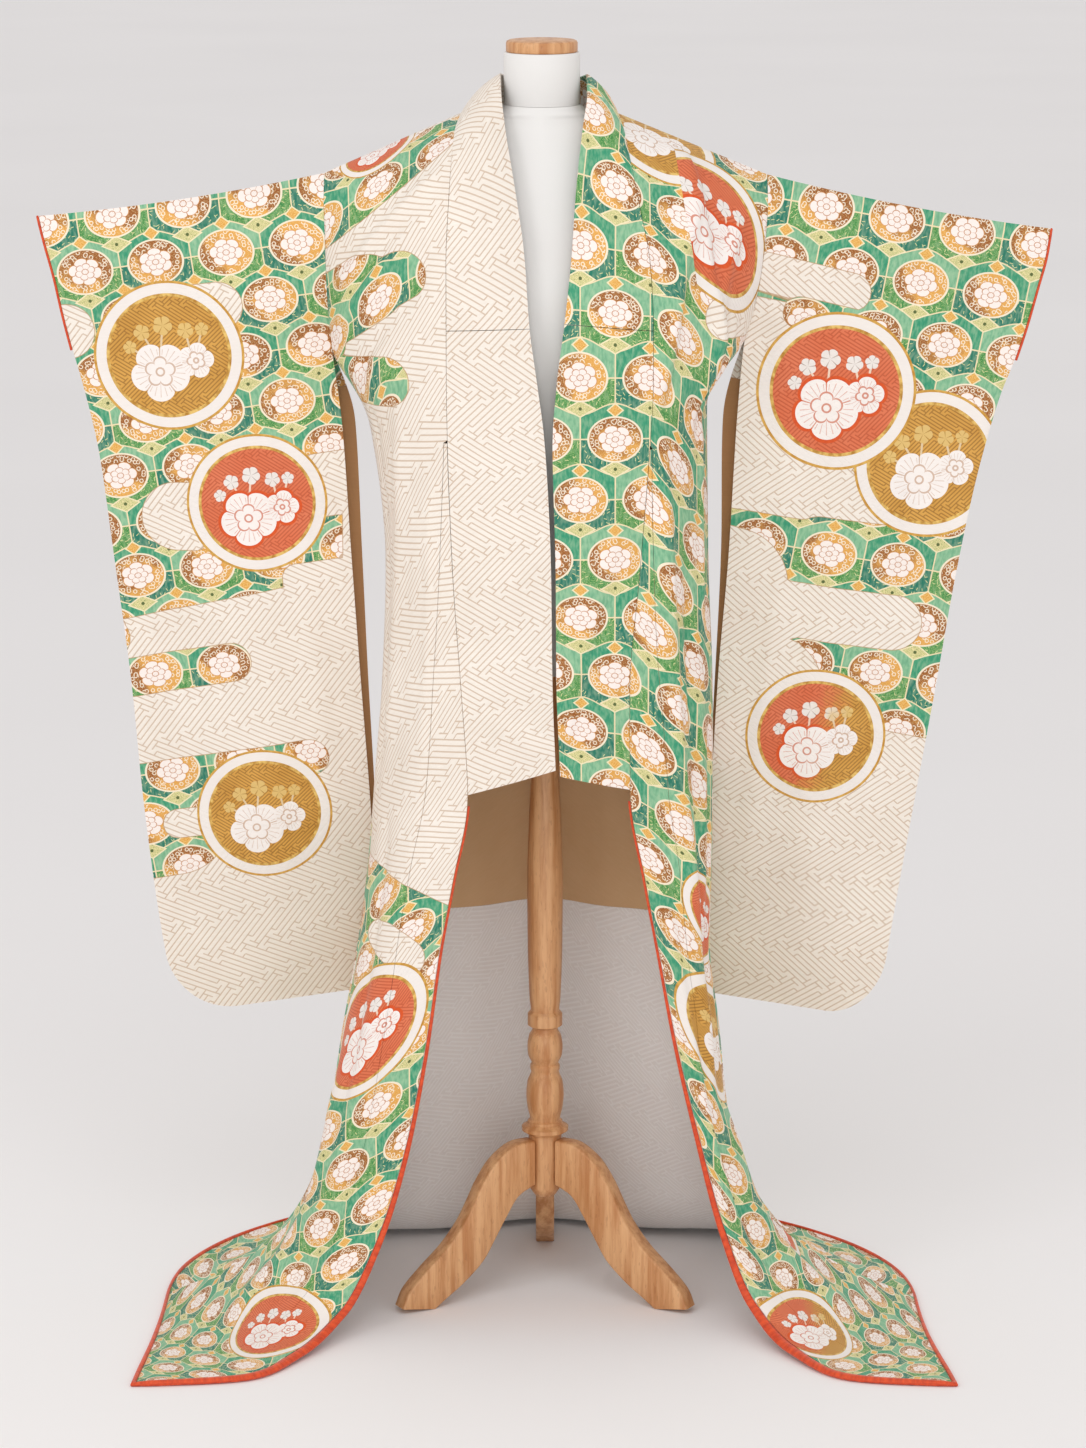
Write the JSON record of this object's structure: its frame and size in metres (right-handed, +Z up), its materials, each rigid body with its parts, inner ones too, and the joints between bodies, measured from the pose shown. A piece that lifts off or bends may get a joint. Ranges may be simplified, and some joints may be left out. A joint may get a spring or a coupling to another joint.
{
  "type": "furisode on dress form",
  "caption": "Long-sleeved trailing robe with padded hem, hollow and worn open over a limbless dress form on a turned pole with three curved legs.",
  "frame": {"origin": "on the floor, under the middle of the bounding box, which is the axis of the stand's pole", "axes": "+Z up, the open front faces -Y, the robe's sleeves spread along X"},
  "size_m": [1.2976, 0.7704, 1.661],
  "materials": {
    "silk_ivory": "satin silk",
    "silk_green": "satin silk",
    "lining_tan": "plain silk",
    "lining_brown": "plain silk",
    "lining_white": "figured silk",
    "padded_edge": "satin silk",
    "form_cloth": "stretched matt cotton",
    "beech": "satin varnish"
  },
  "bodies": {
    "root": {"body_left": "silk_ivory", "body_right": "silk_green", "cap": "beech", "collar_left": "silk_ivory", "collar_right": "silk_green", "cuff_roll_left": "padded_edge", "cuff_roll_right": "padded_edge", "hem_roll_left": "padded_edge", "hem_roll_right": "padded_edge", "hub": "beech", "leg_back": "beech", "leg_front_left": "beech", "leg_front_right": "beech", "lining_lower_left": "lining_white", "lining_lower_right": "lining_white", "lining_upper_left": "lining_tan", "lining_upper_right": "lining_tan", "neck": "form_cloth", "okumi_left": "silk_ivory", "okumi_right": "silk_green", "over_collar_left": "silk_ivory", "over_collar_right": "silk_green", "pole": "beech", "sleeve_left": "silk_ivory", "sleeve_lining_left": "lining_brown", "sleeve_lining_right": "lining_brown", "sleeve_right": "silk_ivory", "torso": "form_cloth"}
  },
  "joints": []
}
